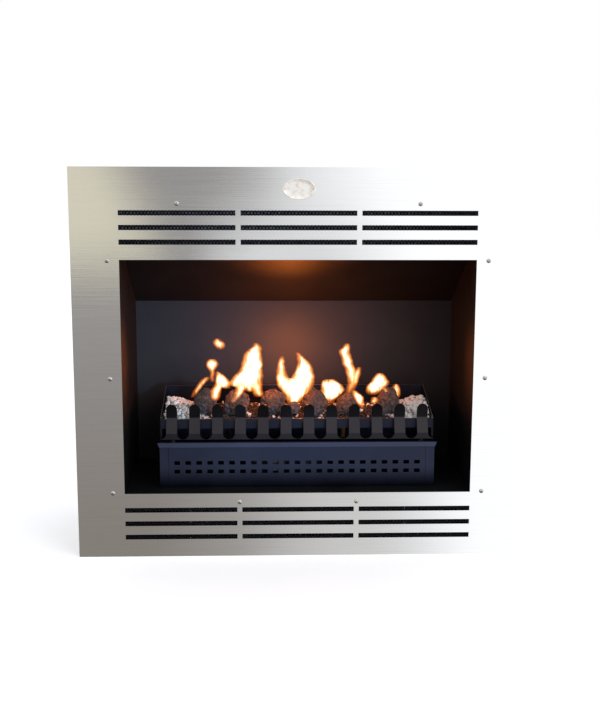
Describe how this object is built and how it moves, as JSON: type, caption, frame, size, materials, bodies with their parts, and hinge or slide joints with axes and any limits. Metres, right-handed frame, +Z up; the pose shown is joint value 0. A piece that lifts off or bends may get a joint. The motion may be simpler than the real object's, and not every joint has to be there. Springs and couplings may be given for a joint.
{
  "type": "fireplace insert",
  "caption": "Built-in gas fireplace insert: louvred stainless front plate, open steel firebox in a casing, and a coal-effect gas grate with a castellated fret and lift-off cover.",
  "frame": {"origin": "under the middle of the insert, on the hearth it stands on", "axes": "+X across the front to the right as seen by a user, +Y into the wall, +Z up"},
  "size_m": [0.8, 0.3026, 0.705],
  "materials": {
    "brushed_stainless": "horizontal brushed grain",
    "screw_steel": "turned, satin",
    "name_metal": "pale satin, bare",
    "mesh_paint": "satin black on perforated sheet",
    "galvanised": "galvanised spangle",
    "firebox_paint": "matte black heat-proof paint",
    "grate_paint": "satin black heat-proof paint",
    "fret_paint": "satin black heat-proof paint",
    "cast_metal": "die-cast",
    "brass": "machined",
    "copper": "drawn copper tube",
    "stainless_tube": "heat-tinted",
    "black_plastic": "moulded",
    "porcelain": "glazed white",
    "granules": "loose expanded granules",
    "ceramic_coal": "rough fired ceramic"
  },
  "bodies": {
    "insert": {"front_plate": "brushed_stainless", "name_plate": "name_metal", "upper_vent_mesh": "mesh_paint", "lower_vent_mesh": "mesh_paint", "casing_base": "galvanised", "casing_top": "galvanised", "casing_back": "galvanised", "casing_side_left": "galvanised", "casing_side_right": "galvanised", "firebox_floor": "firebox_paint", "firebox_back": "firebox_paint", "firebox_ceiling": "firebox_paint", "firebox_side_left": "firebox_paint", "firebox_side_right": "firebox_paint", "floor_bearer_left": "galvanised", "floor_bearer_right": "galvanised", "rear_stay": "galvanised", "burner_box": "grate_paint", "front_rail": "grate_paint", "fire_tray": "grate_paint", "grate_back": "grate_paint", "grate_side_left": "grate_paint", "grate_side_right": "grate_paint", "castellated_fret": "fret_paint", "control_bracket": "galvanised", "gas_valve": "cast_metal", "igniter_body": "black_plastic", "burner_tube": "stainless_tube", "burner_venturi": "brass", "feed_pipe": "copper", "supply_pipe": "copper", "inlet_fitting": "brass", "inlet_locknut": "brass", "pilot_burner": "stainless_tube", "pilot_pipe": "copper", "thermocouple": "copper", "spark_electrode": "porcelain", "vermiculite_bed": "granules", "plate_screw_1": "screw_steel", "plate_screw_2": "screw_steel", "plate_screw_3": "screw_steel", "plate_screw_4": "screw_steel", "plate_screw_5": "screw_steel", "plate_screw_6": "screw_steel", "plate_screw_7": "screw_steel", "plate_screw_8": "screw_steel", "plate_screw_9": "screw_steel", "plate_screw_10": "screw_steel", "ceramic_coal_1": "ceramic_coal", "ceramic_coal_2": "ceramic_coal", "ceramic_coal_3": "ceramic_coal", "ceramic_coal_4": "ceramic_coal", "ceramic_coal_5": "ceramic_coal", "ceramic_coal_6": "ceramic_coal", "ceramic_chunk": "ceramic_coal"},
    "cover": {"burner_cover": "grate_paint"},
    "tap_rotor": {"valve_rotor": "brass"},
    "tap_knob": {"valve_spindle": "brass", "control_knob": "black_plastic"},
    "igniter_key": {"igniter_button": "black_plastic"}
  },
  "joints": [
    {"name": "cover_pull", "type": "slide", "parent": "insert", "child": "cover", "axis": [0, -1, 0], "range_m": [0, 0.06]},
    {"name": "tap_turn", "type": "hinge", "parent": "insert", "child": "tap_rotor", "pos_m": [-0.04, -0.0727, 0.16], "axis": [0, -1, 0], "range_deg": [0, 180]},
    {"name": "tap_push", "type": "slide", "parent": "tap_rotor", "child": "tap_knob", "axis": [0, 1, 0], "range_m": [0, 0.004], "stiffness_N_per_m": 800},
    {"name": "igniter_push", "type": "slide", "parent": "insert", "child": "igniter_key", "axis": [0, 1, 0], "range_m": [0, 0.006], "stiffness_N_per_m": 1200}
  ]
}
